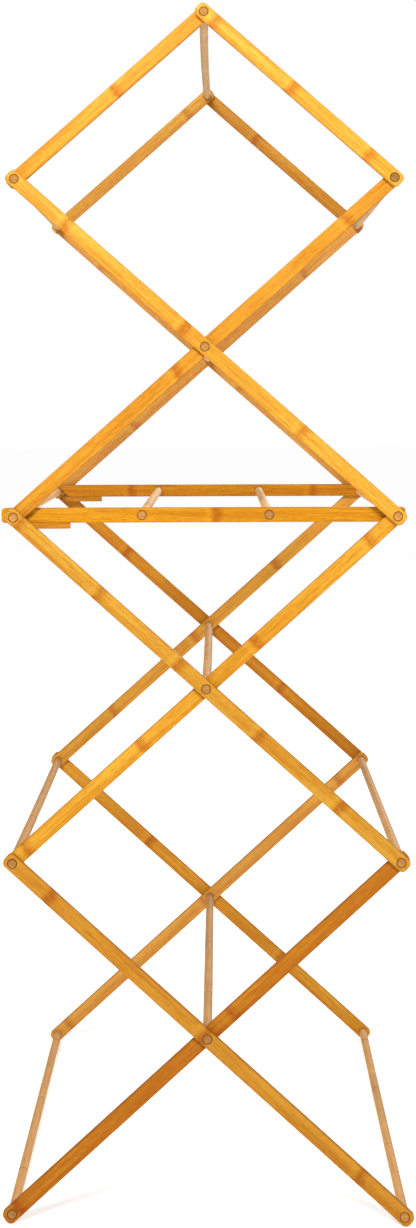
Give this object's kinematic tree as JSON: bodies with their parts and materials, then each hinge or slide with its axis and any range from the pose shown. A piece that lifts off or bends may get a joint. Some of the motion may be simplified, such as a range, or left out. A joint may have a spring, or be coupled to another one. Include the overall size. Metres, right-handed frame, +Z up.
{
  "type": "folding clothes drying rack",
  "caption": "Bamboo accordion drying rack: lattice end frames joined by round rods, with a level lock frame that forms a shelf.",
  "frame": {"origin": "middle of the rack's outline on the floor, under its feet, with the rack standing open", "axes": "+X to the rack's right seen from its front, +Y from front to rear along the rods, +Z up"},
  "size_m": [0.5472, 0.74, 1.6247],
  "materials": {
    "outer_slat": "satin lacquered bamboo",
    "inner_slat": "satin lacquered bamboo",
    "lock_bar": "satin lacquered bamboo",
    "lock_strip": "satin lacquered bamboo",
    "bamboo_rod": "bare matt bamboo rod",
    "pale_rod": "bare matt wooden rod"
  },
  "bodies": {
    "foot_rod": {"rod_foot_left": "bamboo_rod"},
    "lower_inner": {"slat_lower_inner_front": "inner_slat", "slat_lower_inner_rear": "inner_slat"},
    "lower_outer": {"slat_lower_outer_front": "outer_slat", "slat_lower_outer_rear": "outer_slat", "rod_foot_right": "bamboo_rod", "rod_lower_cross": "bamboo_rod", "rod_lower_left": "bamboo_rod"},
    "middle_outer": {"slat_middle_outer_front": "outer_slat", "slat_middle_outer_rear": "outer_slat", "rod_lower_right": "bamboo_rod", "rod_middle_cross": "bamboo_rod", "rod_middle_left": "pale_rod"},
    "middle_inner": {"slat_middle_inner_front": "inner_slat", "slat_middle_inner_rear": "inner_slat"},
    "upper_outer": {"slat_upper_outer_front": "outer_slat", "slat_upper_outer_rear": "outer_slat", "rod_upper_cross": "pale_rod", "rod_upper_left": "pale_rod"},
    "upper_inner": {"slat_upper_inner_front": "inner_slat", "slat_upper_inner_rear": "inner_slat"},
    "cap_outer": {"cap_slat_outer_front": "outer_slat", "cap_slat_outer_rear": "outer_slat", "rod_upper_right": "pale_rod", "rod_top": "pale_rod"},
    "cap_inner": {"cap_slat_inner_front": "inner_slat", "cap_slat_inner_rear": "inner_slat"},
    "lock_rod": {"rod_middle_right": "pale_rod"},
    "lock_frame": {"lock_bar_front": "lock_bar", "lock_bar_rear": "lock_bar", "lock_strip_front": "lock_strip", "lock_strip_rear": "lock_strip", "rod_shelf_left": "pale_rod", "rod_shelf_right": "pale_rod"}
  },
  "joints": [
    {"name": "foot_pivot", "type": "hinge", "parent": "foot_rod", "child": "lower_inner", "pos_m": [-0.25557, 0, 0.01223], "axis": [0, 1, 0], "range_deg": [0, 36.6]},
    {"name": "fold", "type": "hinge", "parent": "lower_inner", "child": "lower_outer", "pos_m": [0.00282, 0, 0.24083], "axis": [0, -1, 0], "range_deg": [0, 73.2]},
    {"name": "lower_right_pivot", "type": "hinge", "parent": "lower_inner", "child": "middle_outer", "pos_m": [0.26121, 0, 0.46944], "axis": [0, -1, 0], "range_deg": [0, 73.2]},
    {"name": "middle_cross_pivot", "type": "hinge", "parent": "middle_outer", "child": "middle_inner", "pos_m": [0.00282, 0, 0.69804], "axis": [0, 1, 0], "range_deg": [0, 73.2]},
    {"name": "middle_right_pivot", "type": "hinge", "parent": "middle_inner", "child": "upper_outer", "pos_m": [0.26121, 0, 0.92664], "axis": [0, -1, 0], "range_deg": [0, 73.2]},
    {"name": "upper_cross_pivot", "type": "hinge", "parent": "upper_outer", "child": "upper_inner", "pos_m": [0.00282, 0, 1.15525], "axis": [0, 1, 0], "range_deg": [0, 73.2]},
    {"name": "upper_right_pivot", "type": "hinge", "parent": "upper_inner", "child": "cap_outer", "pos_m": [0.26121, 0, 1.38385], "axis": [0, -1, 0], "range_deg": [0, 73.2]},
    {"name": "top_pivot", "type": "hinge", "parent": "cap_outer", "child": "cap_inner", "pos_m": [0.00282, 0, 1.61246], "axis": [0, 1, 0], "range_deg": [0, 73.2]},
    {"name": "lock_level", "type": "hinge", "parent": "upper_outer", "child": "lock_rod", "pos_m": [0.26121, 0, 0.92664], "axis": [0, 1, 0], "range_deg": [0, 36.6]},
    {"name": "lock_lift", "type": "hinge", "parent": "lock_rod", "child": "lock_frame", "pos_m": [0.26121, 0, 0.92664], "axis": [0, 1, 0], "range_deg": [0, 1.8]}
  ],
  "couplings": [
    {"joint": "foot_pivot", "follows": "fold", "ratio": 0.5},
    {"joint": "lower_right_pivot", "follows": "fold", "ratio": 1},
    {"joint": "middle_cross_pivot", "follows": "fold", "ratio": 1},
    {"joint": "middle_right_pivot", "follows": "fold", "ratio": 1},
    {"joint": "upper_cross_pivot", "follows": "fold", "ratio": 1},
    {"joint": "upper_right_pivot", "follows": "fold", "ratio": 1},
    {"joint": "top_pivot", "follows": "fold", "ratio": 1},
    {"joint": "lock_level", "follows": "fold", "ratio": 0.5}
  ]
}
